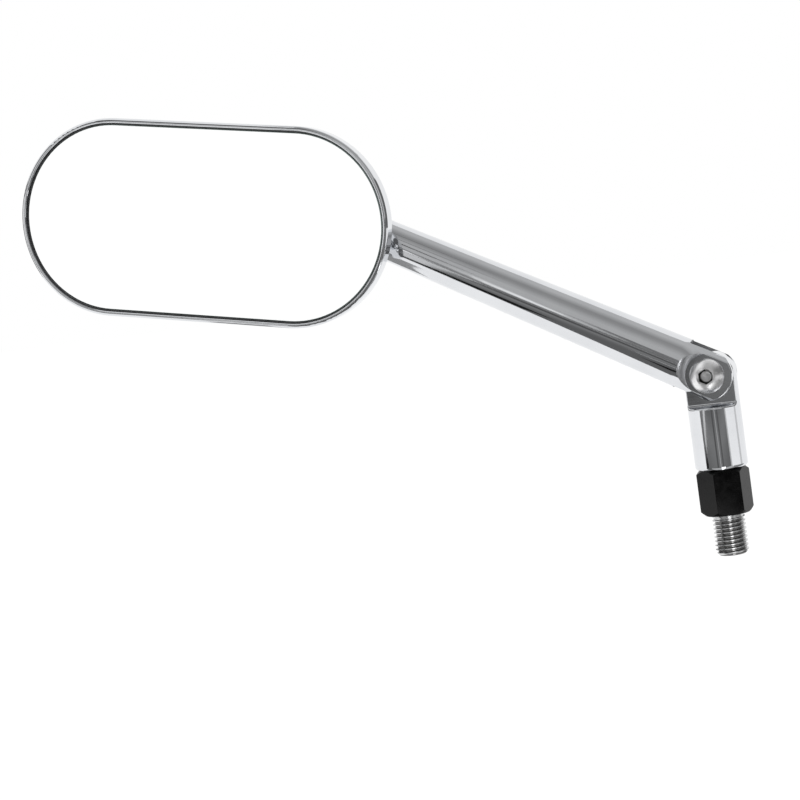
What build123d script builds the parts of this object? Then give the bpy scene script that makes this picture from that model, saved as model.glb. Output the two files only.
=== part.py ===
from build123d import *
import os
from math import cos, radians, sin, sqrt, tan

# Motorcycle mirror, left-hand side: a screw-in stem, a hinged arm and a pill-shaped head on a ball joint.
# Millimetres and degrees. The origin is on the stem's axis at the lock nut's seat, Z is up the stem,
# the arm rises towards -X and the glass looks along -Y.

# Fits
running_clearance = 0.05
seat_clearance = 0.05
hinge_gap = 0.2
joint_gap = 0.3

# Stud and lock nut: an M10 thread, drawn at its pitch diameter where it is engaged
thread_dia = 10.0
thread_pitch_dia = 9.2
stud_exposed = 12.5
stud_tip_chamfer = 1.0
stud_depth = 12.0
nut_across_flats = 14.0
nut_height = 14.0
nut_turn = 18.8
nut_chamfer_angle = 45.0
nut_corner_relief = 0.2
nut_countersink_dia = 10.6

# Stem base with its tongue
stem_dia = 16.0
stem_edge_radius = 1.0
pivot_height = 42.5
tongue_root_drop = 9.5
tongue_root_radius = 1.0
tongue_thickness = 6.0
tongue_round_drop = 0.95
shoulder_edge_radius = 0.5

# Arm, a tapered bar with a forked end
arm_rise = 29.2
arm_reach = 126.5
arm_hinge_dia = 15.7
arm_head_dia = 12.3
arm_end_radius = 1.0
fork_relief = 0.6
ear_end_radius = 7.6
ear_seat_thickness = 1.9
ear_seat_radius = 6.6
ear_seat_wall_angle = 45.0
ear_edge_radius = 0.4

# Pivot screw and nut, M6
pivot_dia = 6.0
screw_head_dia = 10.5
screw_head_height = 3.3
screw_head_edge = 0.4
screw_head_flat_dia = 5.4
screw_dome_radius = 5.8
screw_socket_across_flats = 4.0
screw_socket_depth = 2.1
screw_tip_past_nut = 0.6
screw_tip_chamfer = 0.6
pivot_nut_across_flats = 10.0
pivot_nut_height = 3.2

# Ball joint
ball_dia = 10.0
ball_neck_dia = 5.0
ball_shank_dia = 6.0
ball_shank_length = 12.0
liner_thickness = 0.9
liner_half_angle = 38.0
cup_half_angle = 42.0
cup_crown_thickness = 1.2
spring_thickness = 0.5
spring_height = 1.0
spring_bore_dia = 6.4
spring_margin = 0.4
ring_height = 2.0
ring_bore_dia = 5.0
ring_slot_width = 1.6
ring_slot_depth = 0.9
socket_bore_dia = 13.0
socket_wall = 2.0
socket_crown_thickness = 1.6
socket_seat_start = 1.5
socket_edge_radius = 3.0
socket_root_radius = 2.0
window_corner_radius = 2.0
swing_limit = 12.0
tilt_limit = 5.5

# Head: a cast pan with a rounded rim, the glass in a rubber channel
head_length = 122.8
head_height = 62.5
head_rise = 10.6
ball_inset = 21.3
ball_above_middle = 2.45
rim_width = 1.45
rim_outer_radius = 1.0
rim_inner_radius = 0.4
floor_thickness = 1.6
back_crown = 0.9
back_edge_radius = 2.5
ring_to_floor = 0.2
ledge_width = 2.5
ledge_height = 1.6
seal_thickness = 0.4
seal_lip_width = 2.0
seal_below_glass = 0.4
glass_thickness = 2.4
glass_bevel = 0.3
glass_recess = 1.0
pad_margin = 12.0

# Heights in the head's own frame, from the ball's centre towards the glass
ball_radius = ball_dia / 2
liner_inner_radius = ball_radius + running_clearance
liner_outer_radius = liner_inner_radius + liner_thickness
seat_radius = liner_outer_radius + running_clearance
cup_front = seat_radius + cup_crown_thickness
spring_front = cup_front + spring_height
ring_front = spring_front + ring_height
floor_front = ring_front + ring_to_floor
floor_back = floor_front - floor_thickness
ledge_front = floor_front + ledge_height
glass_back = ledge_front + seal_thickness
glass_front = glass_back + glass_thickness
rim_front = glass_front + glass_recess
socket_radius = socket_bore_dia / 2 + socket_wall
socket_back = -(seat_radius + socket_crown_thickness)

# Widths of the hinge, measured from its middle plane
fork_half_slot = tongue_thickness / 2 + hinge_gap
ear_seat = fork_half_slot + ear_seat_thickness
arm_end_gap = joint_gap + arm_head_dia / 2 * sin(radians(tilt_limit))
arm_length = arm_reach - socket_radius - arm_end_gap

# The arm's frame has X along the bar and Y towards the rider. The head's frame has its origin at the
# ball's centre, X along the pill away from the arm and Z towards the rider.
arm_direction = Vector(-cos(radians(arm_rise)), 0, sin(radians(arm_rise)))
pivot_point = Vector(0, 0, pivot_height)
ball_point = pivot_point + arm_direction * arm_reach
arm_upward = Vector(sin(radians(arm_rise)), 0, cos(radians(arm_rise)))
arm_frame = Plane(origin=pivot_point, x_dir=arm_direction, z_dir=arm_upward)
head_frame = Plane(
    origin=ball_point,
    x_dir=(-cos(radians(head_rise)), 0, sin(radians(head_rise))),
    z_dir=(0, -1, 0),
)
neck_angle = 180 - (arm_rise - head_rise)
pan_center = head_length / 2 - ball_inset


def turned(points):
    """A solid of revolution about Z from its half section, given as (radius, height) points."""
    section = make_face(Polyline(*[(r, 0, h) for r, h in points], close=True))
    return revolve(section, Axis.Z)


def hex_bar(across_flats, height, turn=0):
    """A six-sided bar standing on the XY plane, with one face square to -Y before it is turned."""
    outline = RegularPolygon(across_flats / 2, 6, major_radius=False, rotation=turn)
    return extrude(outline, height)


def nut_envelope(across_flats, height, both_ends):
    """The turned outline that chamfers the corners of a hexagon nut."""
    corner = across_flats / sqrt(3)
    flat = across_flats / 2 - nut_corner_relief
    drop = (corner - flat) * tan(radians(nut_chamfer_angle))
    bottom = [(0, 0), (flat, 0), (corner, drop)] if both_ends else [(0, 0), (corner, 0)]
    return turned(bottom + [(corner, height - drop), (flat, height), (0, height)])


def pill(inset, bottom, top):
    """An upright pill-shaped block, set in from the head's outline by the same distance all round."""
    outline = SlotOverall(head_length - 2 * inset, head_height - 2 * inset)
    return Pos(pan_center, ball_above_middle, bottom) * extrude(outline, top - bottom)


# Stud: the thread's crest cylinder shows below the nut, the engaged length is drawn at the pitch diameter
def make_threaded_stud():
    crest = thread_dia / 2
    engaged = thread_pitch_dia / 2
    tip = crest - stud_tip_chamfer
    return turned(
        [
            (0, -stud_exposed),
            (tip, -stud_exposed),
            (crest, -stud_exposed + stud_tip_chamfer),
            (crest, 0),
            (engaged, 0),
            (engaged, nut_height + stud_depth),
            (0, nut_height + stud_depth),
        ]
    )


# Lock nut: a long hexagon chamfered at both ends, free to turn on the stud
def make_lock_nut():
    body = hex_bar(nut_across_flats, nut_height, nut_turn)
    body &= nut_envelope(nut_across_flats, nut_height, True)
    bore = thread_pitch_dia / 2 + running_clearance
    mouth = nut_countersink_dia / 2
    depth = mouth - bore
    return body - turned(
        [
            (0, 0),
            (mouth, 0),
            (bore, depth),
            (bore, nut_height - depth),
            (mouth, nut_height),
            (0, nut_height),
        ]
    )


# Stem base: a round bar with a full-round tongue milled on its top and a tapped hole in its foot
def make_stem_base():
    radius = stem_dia / 2
    root = pivot_height - tongue_root_drop
    bar = Pos(0, 0, nut_height) * extrude(Circle(radius), pivot_height + radius - nut_height)
    bar = fillet(bar.edges().group_by(Axis.Z)[0], stem_edge_radius)
    round_height = pivot_height - tongue_round_drop
    side_view = Pos(0, round_height) * Circle(radius)
    side_view += Pos(0, round_height / 2) * Rectangle(stem_dia, round_height)
    bar &= extrude(Plane.XZ * side_view, radius, both=True)
    beside_tongue = (Align.CENTER, Align.MIN, Align.MIN)
    cutter = Box(2 * stem_dia, stem_dia, 2 * stem_dia, align=beside_tongue)
    cutter = Pos(0, tongue_thickness / 2, root) * cutter
    corner = cutter.edges().filter_by(Axis.X).sort_by(Axis.Y)[:2].sort_by(Axis.Z)[0]
    cutter = fillet(corner, tongue_root_radius)
    stem = bar - cutter - mirror(cutter, Plane.XZ)
    shoulder = stem.edges().filter_by(GeomType.CIRCLE).filter_by(lambda e: abs(e.center().Z - root) < 0.01)
    stem = fillet(shoulder, shoulder_edge_radius)
    pivot_bore = pivot_dia / 2 + running_clearance
    pivot_hole = Pos(pivot_point) * Rot(90, 0, 0) * Cylinder(pivot_bore, 2 * stem_dia)
    stud_bore = thread_pitch_dia / 2 + seat_clearance
    stud_hole = extrude(Circle(stud_bore), nut_height + stud_depth + seat_clearance)
    return stem - pivot_hole - stud_hole


# Arm: a tapered bar, forked and rounded at the hinge, with a milled seat on each ear
def make_arm():
    end = arm_hinge_dia / 2
    taper = turned([(0, 0), (end, 0), (arm_head_dia / 2, arm_length), (0, arm_length)])
    taper = fillet(taper.edges().group_by(Axis.Z)[-1], arm_end_radius)
    bar = Rot(0, 90, 0) * taper
    bar += Rot(0, -90, 0) * extrude(Circle(end), end)
    side_view = Circle(ear_end_radius) + Pos(arm_length / 2, 0) * Rectangle(arm_length, 2 * end)
    bar &= extrude(Plane.XZ * side_view, 2 * end, both=True)
    fork_depth = stem_dia / 2 + fork_relief
    slot_length = fork_depth + 2 * end
    bar -= Pos(fork_depth - slot_length / 2, 0, 0) * Box(slot_length, 2 * fork_half_slot, 4 * end)
    wall_run = end / tan(radians(ear_seat_wall_angle))
    spot_face = turned([(0, 0), (ear_seat_radius, 0), (ear_seat_radius + wall_run, end), (0, end)])
    standing = (Align.MAX, Align.CENTER, Align.MIN)
    spot_face += Box(2 * end, 4 * end, end, align=standing)
    for side in (1, -1):
        bar -= Pos(0, side * ear_seat, 0) * Rot(-side * 90, 0, 0) * spot_face
    seat_edges = bar.edges().filter_by(lambda e: abs(abs(e.center().Y) - ear_seat) < 0.01)
    bar = fillet(seat_edges.filter_by(lambda e: e.center().X < ear_seat_radius / 2), ear_edge_radius)
    bar -= Rot(90, 0, 0) * Cylinder(pivot_dia / 2 + seat_clearance, 4 * end)
    shank = ball_shank_dia / 2 + seat_clearance
    shank_hole = extrude(Circle(shank), ball_shank_length + seat_clearance)
    bar -= Pos(arm_length, 0, 0) * Rot(0, -90, 0) * shank_hole
    return arm_frame * bar


# Pivot screw: a button head with a hexagon socket, on the rider's side of the hinge
def make_pivot_screw():
    shank = pivot_dia / 2
    head = screw_head_dia / 2
    tip = ear_seat + pivot_nut_height + screw_tip_past_nut
    outline = Polyline(
        (0, ear_seat + screw_head_height),
        (0, -tip),
        (shank - screw_tip_chamfer, -tip),
        (shank, -tip + screw_tip_chamfer),
        (shank, ear_seat),
        (head, ear_seat),
        (head, ear_seat + screw_head_edge),
    )
    crown = (screw_head_flat_dia / 2, ear_seat + screw_head_height)
    outline += RadiusArc((head, ear_seat + screw_head_edge), crown, -screw_dome_radius)
    outline += Line(crown, (0, ear_seat + screw_head_height))
    screw = revolve(make_face(outline), Axis.Y)
    socket = Rot(-90, 0, 0) * hex_bar(screw_socket_across_flats, screw_head_height)
    screw -= Pos(0, ear_seat + screw_head_height - screw_socket_depth, 0) * socket
    return arm_frame * screw


# Pivot nut: a thin hexagon nut on the far ear's seat
def make_pivot_nut():
    nut = hex_bar(pivot_nut_across_flats, pivot_nut_height)
    nut &= nut_envelope(pivot_nut_across_flats, pivot_nut_height, False)
    nut -= Cylinder(pivot_dia / 2 + seat_clearance, 4 * pivot_nut_height)
    return arm_frame * (Pos(0, -ear_seat, 0) * Rot(90, 0, 0) * nut)


# Ball stud: screwed into the arm's end, its ball held in the head's socket
def make_ball_stud():
    neck = ball_neck_dia / 2
    shank = ball_shank_dia / 2
    neck_length = arm_reach - arm_length
    stud = Sphere(ball_radius) + extrude(Circle(neck), -neck_length)
    stud += Pos(0, 0, -neck_length) * extrude(Circle(shank), -ball_shank_length)
    return arm_frame * (Pos(arm_reach, 0, 0) * Rot(0, 90, 0) * stud)


# Ball liners: two dished nylon caps, one behind the ball and one in front of it
def make_ball_liner(side):
    rim = liner_outer_radius * sin(radians(liner_half_angle))
    mouth = liner_inner_radius * cos(radians(liner_half_angle))
    shell = Sphere(liner_outer_radius) - Sphere(liner_inner_radius)
    cap = shell & Pos(0, 0, mouth) * extrude(Circle(rim), liner_outer_radius)
    return head_frame * (Rot(0, 0 if side > 0 else 180, 0) * cap)


# Thrust cup: presses the front liner on the ball
def make_thrust_cup():
    radius = socket_bore_dia / 2 - seat_clearance
    mouth = seat_radius * cos(radians(cup_half_angle))
    cup = Pos(0, 0, mouth) * extrude(Circle(radius), cup_front - mouth)
    return head_frame * (cup - Sphere(seat_radius))


# Disc spring: a dished steel washer between the cup and the ring
def make_disc_spring():
    inner = spring_bore_dia / 2
    outer = socket_bore_dia / 2 - spring_margin
    return head_frame * turned(
        [
            (outer, cup_front),
            (outer, cup_front + spring_thickness),
            (inner, spring_front),
            (inner, spring_front - spring_thickness),
        ]
    )


# Retaining ring: screwed into the socket's mouth, with two slots for a pin spanner
def make_retaining_ring():
    radius = socket_bore_dia / 2 - seat_clearance
    ring = Pos(0, 0, spring_front) * extrude(Circle(radius) - Circle(ring_bore_dia / 2), ring_height)
    ring -= Pos(0, 0, ring_front) * Box(3 * radius, ring_slot_width, 2 * ring_slot_depth)
    return head_frame * ring


def on_socket_root(edge):
    """True for the edge where the socket's wall meets the pan's back."""
    start = edge.position_at(0.25)
    on_wall = abs(sqrt(start.X**2 + start.Y**2) - socket_radius) < seat_clearance
    return on_wall and floor_back - 2 * back_crown < start.Z < floor_back + seat_clearance


def rim_inset(edge):
    """How far an edge of the rim lies in from the head's outline."""
    middle = edge.position_at(0.5)
    past_straight = max(abs(middle.X - pan_center) - (head_length - head_height) / 2, 0)
    return head_height / 2 - sqrt(past_straight**2 + (middle.Y - ball_above_middle) ** 2)


def on_outer_rim(edge):
    """True for the rim's edge on the head's outline."""
    return abs(rim_inset(edge)) < seat_clearance


def on_inner_rim(edge):
    """True for the rim's edge on the glass's side."""
    return abs(rim_inset(edge) - rim_width) < seat_clearance


# Housing: the cast pan with its rim, and the ball socket that stands on its back
def make_housing():
    half = head_height / 2
    end_center = half - ball_inset
    straight = head_length - head_height
    crown_arc = ThreePointArc((-half, floor_back), (0, floor_back - back_crown), (half, floor_back))
    front_line = Polyline((half, floor_back), (half, rim_front), (-half, rim_front), (-half, floor_back))
    section = make_face(crown_arc + front_line)
    half_section = section & Pos(half, 0) * Rectangle(2 * half, 4 * rim_front)
    middle = extrude(Plane.YZ * section, straight)
    inner_end = revolve(Plane.YZ * half_section, Axis.Z, 180)
    outer_end = Rot(0, 0, 180) * revolve(Plane.YZ * half_section, Axis.Z, 180)
    pan = middle + inner_end + Pos(straight, 0, 0) * outer_end
    pan = Pos(end_center, ball_above_middle, 0) * pan
    back_edges = pan.edges().filter_by(lambda e: abs(e.center().Z - floor_back) < 0.01)
    pan = fillet(back_edges, back_edge_radius)

    socket = Pos(0, 0, socket_back) * extrude(Circle(socket_radius), floor_front - socket_back)
    socket = fillet(socket.edges().group_by(Axis.Z)[0], socket_edge_radius)
    housing = pan + socket
    root_edges = housing.edges().filter_by(on_socket_root)
    housing = fillet(root_edges, socket_root_radius)

    housing -= pill(rim_width, ledge_front, 2 * rim_front)
    housing -= pill(rim_width + ledge_width, floor_front, 2 * rim_front)
    housing = fillet(housing.edges().group_by(Axis.Z)[-1].filter_by(on_outer_rim), rim_outer_radius)
    housing = fillet(housing.edges().group_by(Axis.Z)[-1].filter_by(on_inner_rim), rim_inner_radius)

    housing -= Pos(0, 0, socket_seat_start) * extrude(Circle(socket_bore_dia / 2), 2 * rim_front)
    housing -= Sphere(seat_radius)
    neck = ball_neck_dia / 2 + joint_gap
    window_width = 2 * (neck / cos(radians(swing_limit)) + socket_radius * tan(radians(swing_limit)))
    window_height = 2 * (neck / cos(radians(tilt_limit)) + socket_radius * tan(radians(tilt_limit)))
    window_outline = RectangleRounded(window_width, window_height, window_corner_radius)
    window = extrude(Plane.YZ * window_outline, 2 * socket_radius)
    housing -= Rot(0, 0, neck_angle) * window
    return head_frame * housing


# Glass seal: an L-section rubber channel between the glass and the rim
def make_glass_seal():
    outer = rim_width + seat_clearance
    inner = outer + seal_thickness
    seal = pill(outer, ledge_front, glass_front - seal_below_glass)
    seal -= pill(inner, glass_back, 2 * rim_front)
    seal -= pill(inner + seal_lip_width, 0, 2 * rim_front)
    return head_frame * seal


# Foam pad: bonds the glass to the pan's floor, clear of the socket's mouth
def make_foam_pad():
    start = socket_radius + joint_gap
    end = head_length - ball_inset - pad_margin
    height = head_height - 2 * pad_margin
    middle = (start + end) / 2
    outline = Pos(middle, ball_above_middle, floor_front) * SlotOverall(end - start, height)
    return head_frame * extrude(outline, glass_back - floor_front)


# Mirror glass: flat, silvered behind, with a ground edge
def make_mirror_glass():
    glass = pill(rim_width + seal_thickness + 2 * seat_clearance, glass_back, glass_front)
    glass = chamfer(glass.edges().group_by(Axis.Z)[-1], glass_bevel)
    return head_frame * glass


sub_parts = {
    "threaded_stud": make_threaded_stud(),
    "lock_nut": make_lock_nut(),
    "stem_base": make_stem_base(),
    "arm": make_arm(),
    "pivot_screw": make_pivot_screw(),
    "pivot_nut": make_pivot_nut(),
    "ball_stud": make_ball_stud(),
    "rear_ball_liner": make_ball_liner(-1),
    "front_ball_liner": make_ball_liner(1),
    "thrust_cup": make_thrust_cup(),
    "disc_spring": make_disc_spring(),
    "retaining_ring": make_retaining_ring(),
    "housing": make_housing(),
    "glass_seal": make_glass_seal(),
    "foam_pad": make_foam_pad(),
    "mirror_glass": make_mirror_glass(),
}

os.makedirs("parts", exist_ok=True)
for name, solid in sub_parts.items():
    export_step(solid, f"parts/{name}.step")
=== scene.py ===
from math import cos, radians, sin

import bpy
from mathutils import Matrix, Vector


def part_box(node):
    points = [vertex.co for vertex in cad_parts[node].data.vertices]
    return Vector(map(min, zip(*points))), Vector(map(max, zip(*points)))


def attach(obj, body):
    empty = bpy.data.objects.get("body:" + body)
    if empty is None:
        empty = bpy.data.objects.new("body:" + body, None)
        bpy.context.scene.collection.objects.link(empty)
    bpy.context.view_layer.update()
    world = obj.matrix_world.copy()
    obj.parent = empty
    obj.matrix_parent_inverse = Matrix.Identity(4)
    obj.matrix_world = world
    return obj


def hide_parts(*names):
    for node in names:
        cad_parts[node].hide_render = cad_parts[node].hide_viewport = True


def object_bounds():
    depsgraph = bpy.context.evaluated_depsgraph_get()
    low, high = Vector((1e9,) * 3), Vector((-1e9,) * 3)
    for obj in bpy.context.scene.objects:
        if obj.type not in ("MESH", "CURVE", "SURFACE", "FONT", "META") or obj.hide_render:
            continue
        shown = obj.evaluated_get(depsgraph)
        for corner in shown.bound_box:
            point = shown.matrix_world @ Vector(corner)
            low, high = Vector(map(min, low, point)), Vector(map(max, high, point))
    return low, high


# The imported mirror: a screw-in stem, a hinged arm and a pill-shaped head on a ball joint.
# Metres, in the part's own frame: the stem stands on Z, the arm leans towards -X, the glass looks along -Y.
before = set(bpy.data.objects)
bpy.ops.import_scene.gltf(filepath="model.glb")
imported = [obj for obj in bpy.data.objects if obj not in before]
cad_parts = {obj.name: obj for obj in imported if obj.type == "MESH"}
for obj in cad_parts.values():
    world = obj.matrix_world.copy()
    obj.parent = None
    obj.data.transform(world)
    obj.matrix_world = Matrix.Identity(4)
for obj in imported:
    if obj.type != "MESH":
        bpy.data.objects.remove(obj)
cad_low, cad_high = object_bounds()
bpy.ops.object.select_all(action="DESELECT")

# Threaded stud: a length of M10 fine-thread steel bar, zinc plated, screwed into the stem's foot.
# The rolled thread shows below the nut; above it the bar is hidden, so it stays plain.
THREAD_PITCH = 0.00125
THREAD_TURN_STEPS = 64
THREADED_SHARE = 0.62
THREAD_DEPTH = 0.61 * THREAD_PITCH
THREAD_CREST_FLAT = 0.20 * THREAD_PITCH
THREAD_ROOT_FLAT = 0.24 * THREAD_PITCH
THREAD_JOIN = THREAD_PITCH / 1000
THREAD_SMOOTH_ANGLE = radians(28)
STUD_TIP_CHAMFER = 0.001
STUD_HIDDEN_RADIUS = 0.0046
STUD_SIDES = 96
MERGE_DISTANCE = 0.0000015
ZINC_BRIGHT = (0.72, 0.725, 0.73, 1)
ZINC_DULL = (0.60, 0.60, 0.605, 1)
ZINC_ROOT_SHADE = (0.24, 0.238, 0.235, 1)
ZINC_PATCH_SIZE = 0.0015
ZINC_ROUGHNESS = (0.18, 0.26)
ROLLING_LINE_SIZE = 0.00012
ROLLING_LINE_STRETCH = (0.2, 0.2, 1)
ROLLING_LINE_HEIGHT = 0.000008

stud_low, stud_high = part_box("threaded_stud")
stud_crest = (stud_high.x - stud_low.x) / 2


def select_vertices(piece, wanted):
    """In edit mode, select only the vertices that the test wants."""
    bpy.ops.mesh.select_mode(type="VERT")
    bpy.ops.mesh.select_all(action="DESELECT")
    bpy.ops.object.mode_set(mode="OBJECT")
    for vertex in piece.data.vertices:
        vertex.select = wanted(vertex.co)
    bpy.ops.object.mode_set(mode="EDIT")


def round_bar(name, radius, bottom, top, sides):
    """A plain turned bar on the stem's axis."""
    middle = (0, 0, (bottom + top) / 2)
    bpy.ops.mesh.primitive_cylinder_add(vertices=sides, radius=radius, depth=top - bottom, location=middle)
    bar = bpy.context.object
    bar.name = name
    bpy.ops.object.transform_apply(location=True, rotation=True, scale=True)
    return bar


def bevel_end(bar, height, width):
    """Turn a chamfer on the end of a bar that lies at this height."""
    bpy.ops.object.mode_set(mode="EDIT")
    select_vertices(bar, lambda place: abs(place.z - height) < width / 100)
    bpy.ops.mesh.bevel(offset=width, offset_type="OFFSET", segments=1)
    bpy.ops.object.mode_set(mode="OBJECT")


def merge_doubles():
    """Join the active piece's points that lie on each other, and turn its faces outward."""
    bpy.ops.object.mode_set(mode="EDIT")
    bpy.ops.mesh.select_all(action="SELECT")
    bpy.ops.mesh.remove_doubles(threshold=MERGE_DISTANCE)
    bpy.ops.mesh.normals_make_consistent(inside=False)
    bpy.ops.object.mode_set(mode="OBJECT")


def combine(piece, tool, operation):
    """Cut or join one piece with another, and throw the tool away."""
    bpy.ops.object.select_all(action="DESELECT")
    bpy.context.view_layer.objects.active = piece
    cut = piece.modifiers.new("combine", "BOOLEAN")
    cut.object = tool
    cut.operation = operation
    cut.solver = "EXACT"
    bpy.ops.object.modifier_apply(modifier=cut.name)
    bpy.data.objects.remove(tool)
    merge_doubles()


# One pitch of the thread's outline, drawn up the bar from the middle of one crest to the next.
thread_flank = (THREAD_PITCH - THREAD_CREST_FLAT - THREAD_ROOT_FLAT) / 2
thread_steps = [
    (0, THREAD_CREST_FLAT / 2),
    (-THREAD_DEPTH, thread_flank),
    (0, THREAD_ROOT_FLAT),
    (THREAD_DEPTH, thread_flank),
    (0, THREAD_CREST_FLAT / 2),
]
thread_start = stud_low.z - 2 * THREAD_PITCH
bpy.ops.mesh.primitive_plane_add(size=THREAD_PITCH, location=(0, 0, 0))
threaded_stud = bpy.context.object
threaded_stud.name = "threaded_stud_rolled"
bpy.ops.object.mode_set(mode="EDIT")
bpy.ops.mesh.merge(type="CENTER")
bpy.ops.transform.translate(value=(stud_crest, 0, thread_start))
for outward, upward in thread_steps:
    bpy.ops.mesh.extrude_region_move(TRANSFORM_OT_translate={"value": (outward, 0, upward)})
bpy.ops.object.mode_set(mode="OBJECT")
helix = threaded_stud.modifiers.new("helix", "SCREW")
helix.axis = "Z"
helix.steps = THREAD_TURN_STEPS
helix.render_steps = THREAD_TURN_STEPS
helix.screw_offset = THREAD_PITCH
helix.iterations = int((stud_high.z - thread_start) * THREADED_SHARE / THREAD_PITCH)
helix.use_merge_vertices = True
helix.merge_threshold = THREAD_JOIN
bpy.ops.object.modifier_apply(modifier=helix.name)

# The helix is cut square at both ends and closed, then trimmed to the bar's pointed outline.
bpy.ops.object.mode_set(mode="EDIT")
for height, keep_above in ((stud_low.z - THREAD_PITCH / 2, True), (0.0, False)):
    bpy.ops.mesh.select_all(action="SELECT")
    bpy.ops.mesh.bisect(
        plane_co=(0, 0, height),
        plane_no=(0, 0, 1),
        use_fill=True,
        clear_inner=keep_above,
        clear_outer=not keep_above,
        threshold=THREAD_JOIN / 10,
    )
bpy.ops.mesh.select_all(action="SELECT")
bpy.ops.mesh.remove_doubles(threshold=THREAD_JOIN)
bpy.ops.mesh.normals_make_consistent(inside=False)
bpy.ops.object.mode_set(mode="OBJECT")
outline = round_bar("stud_outline", stud_crest + THREAD_CREST_FLAT, stud_low.z, THREAD_PITCH, STUD_SIDES)
bevel_end(outline, stud_low.z, STUD_TIP_CHAMFER + THREAD_CREST_FLAT)
combine(threaded_stud, outline, "INTERSECT")
hidden_bar = round_bar("stud_hidden_bar", STUD_HIDDEN_RADIUS, -THREAD_PITCH, stud_high.z, STUD_SIDES)
combine(threaded_stud, hidden_bar, "UNION")
bpy.ops.object.select_all(action="DESELECT")
threaded_stud.select_set(True)
bpy.context.view_layer.objects.active = threaded_stud
bpy.ops.object.shade_smooth_by_angle(angle=THREAD_SMOOTH_ANGLE)


def start_finish(name):
    """A new material, with its node tree and its main shader."""
    finish = bpy.data.materials.new(name)
    finish.use_nodes = True
    return finish, finish.node_tree, finish.node_tree.nodes["Principled BSDF"]


def own_place(tree, turn=(0, 0, 0), stretch=(1, 1, 1)):
    """The piece's own coordinates, turned and stretched to follow how its surface was worked."""
    place = tree.nodes.new("ShaderNodeTexCoord")
    mapping = tree.nodes.new("ShaderNodeMapping")
    mapping.vector_type = "POINT"
    mapping.inputs["Rotation"].default_value = turn
    tree.links.new(place.outputs["Object"], mapping.inputs["Vector"])
    stretched = tree.nodes.new("ShaderNodeVectorMath")
    stretched.operation = "MULTIPLY"
    stretched.inputs[1].default_value = stretch
    tree.links.new(mapping.outputs["Vector"], stretched.inputs[0])
    return stretched.outputs["Vector"]


def mottle(tree, place, size, detail=2.0):
    """Soft irregular patches of about this size, in metres."""
    noise = tree.nodes.new("ShaderNodeTexNoise")
    noise.inputs["Scale"].default_value = 1 / size
    noise.inputs["Detail"].default_value = detail
    tree.links.new(place, noise.inputs["Vector"])
    return noise.outputs["Fac"]


def spread(tree, pattern, low, high, start=0.35, end=0.65):
    """A pattern's values spread between two others."""
    scale = tree.nodes.new("ShaderNodeMapRange")
    scale.inputs["From Min"].default_value = start
    scale.inputs["From Max"].default_value = end
    scale.inputs["To Min"].default_value = low
    scale.inputs["To Max"].default_value = high
    tree.links.new(pattern, scale.inputs["Value"])
    return scale.outputs["Result"]


def blend(tree, share, first, second):
    """Two colours or two directions, plain ones or patterns, mixed by a pattern."""
    mix = tree.nodes.new("ShaderNodeMix")
    mix.data_type = "RGBA"
    tree.links.new(share, mix.inputs["Factor"])
    for socket, colour in ((mix.inputs[6], first), (mix.inputs[7], second)):
        if isinstance(colour, tuple):
            socket.default_value = colour
        else:
            tree.links.new(colour, socket)
    return mix.outputs[2]


def relief(tree, pattern, height, shader, below=None):
    """Raise the surface by a pattern, over another relief where there is one."""
    bump = tree.nodes.new("ShaderNodeBump")
    bump.inputs["Distance"].default_value = height
    bump.inputs["Strength"].default_value = 1.0
    tree.links.new(pattern, bump.inputs["Height"])
    if below is not None:
        tree.links.new(below, bump.inputs["Normal"])
    tree.links.new(bump.outputs["Normal"], shader.inputs["Normal"])
    return bump.outputs["Normal"]


def from_axis(tree):
    """Distance from the stem's axis."""
    flat = own_place(tree, stretch=(1, 1, 0))
    length = tree.nodes.new("ShaderNodeVectorMath")
    length.operation = "LENGTH"
    tree.links.new(flat, length.inputs[0])
    return length.outputs["Value"]


zinc, zinc_tree, zinc_shader = start_finish("zinc_plated_thread")
zinc_patches = mottle(zinc_tree, own_place(zinc_tree), ZINC_PATCH_SIZE, detail=3.0)
zinc_colour = blend(zinc_tree, spread(zinc_tree, zinc_patches, 0, 1), ZINC_DULL, ZINC_BRIGHT)
# Painted shade: the zinc's colour darkens to a dark grey down into the thread's roots, by distance from the
# axis.
thread_root = stud_crest - THREAD_DEPTH
root_shade_share = spread(zinc_tree, from_axis(zinc_tree), 1, 0, thread_root, stud_crest - THREAD_DEPTH / 2)
zinc_colour = blend(zinc_tree, root_shade_share, zinc_colour, ZINC_ROOT_SHADE)
zinc_tree.links.new(zinc_colour, zinc_shader.inputs["Base Color"])
zinc_shader.inputs["Metallic"].default_value = 1.0
zinc_tree.links.new(spread(zinc_tree, zinc_patches, *ZINC_ROUGHNESS), zinc_shader.inputs["Roughness"])
along_rolling = own_place(zinc_tree, stretch=ROLLING_LINE_STRETCH)
rolling_lines = mottle(zinc_tree, along_rolling, ROLLING_LINE_SIZE, detail=2.0)
relief(zinc_tree, rolling_lines, ROLLING_LINE_HEIGHT, zinc_shader)
threaded_stud.data.materials.append(zinc)
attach(threaded_stud, "base")
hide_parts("threaded_stud")

# Lock nut: a long hexagon of blackened steel, chamfered at both ends, run up against the stem's foot.
# The oil-black skin is smooth, almost without colour, with faint dust and handling marks.
BLACKENED = (0.0002, 0.0002, 0.0002, 1)
BLACKENED_WORN = (0.0008, 0.0008, 0.0009, 1)
BLACKENED_IOR = 1.26
BLACKENED_ROUGHNESS = (0.14, 0.26)
NUT_PATCH_SIZE = 0.0025
NUT_MARK_SIZE = 0.0004
NUT_MARK_HEIGHT = 0.000004


def dress(node, finish):
    """Give a CAD piece its finish."""
    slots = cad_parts[node].data.materials
    slots.clear()
    slots.append(finish)


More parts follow.
